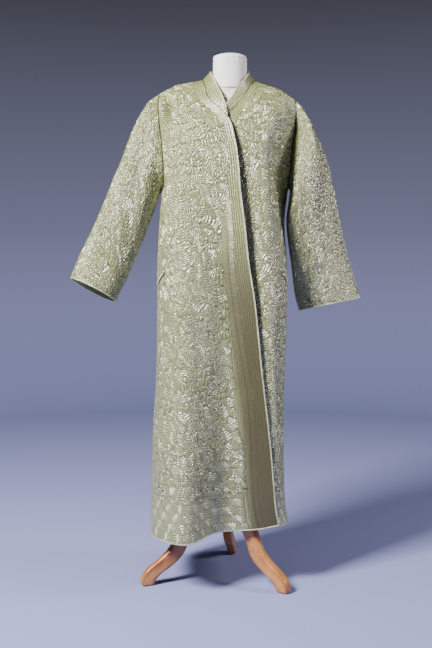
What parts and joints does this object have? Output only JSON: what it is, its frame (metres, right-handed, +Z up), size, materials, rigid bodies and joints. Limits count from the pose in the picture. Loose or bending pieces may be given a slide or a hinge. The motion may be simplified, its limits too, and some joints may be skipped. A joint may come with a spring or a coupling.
{
  "type": "quilted coat on limbless dress form",
  "caption": "Full-length quilted silk coat with wide sleeves and crossed fronts, on a limbless dress form with a wood tripod stand.",
  "frame": {"origin": "on the floor, under the middle of the whole thing's bounding box", "axes": "+Z up, +X to the wearer's left, and the front of the coat faces -Y"},
  "size_m": [0.881, 0.4657, 1.603],
  "materials": {
    "quilted_silk": "pale celadon silk satin, closely quilted over cotton wadding",
    "form_cotton": "stretched undyed cotton jersey over a padded form",
    "beech": "light stained beech with satin varnish"
  },
  "bodies": {
    "root": {"coat_front_right": "quilted_silk", "coat_front_left": "quilted_silk", "coat_back": "quilted_silk", "sleeve_right": "quilted_silk", "sleeve_left": "quilted_silk", "collar": "quilted_silk", "pocket_welt_right": "quilted_silk", "pocket_welt_left": "quilted_silk", "form_torso": "form_cotton", "form_neck": "form_cotton", "form_neck_cap": "form_cotton", "stand_pole": "beech", "stand_hub": "beech", "stand_leg_left": "beech", "stand_leg_right": "beech", "stand_leg_back": "beech"}
  },
  "joints": []
}
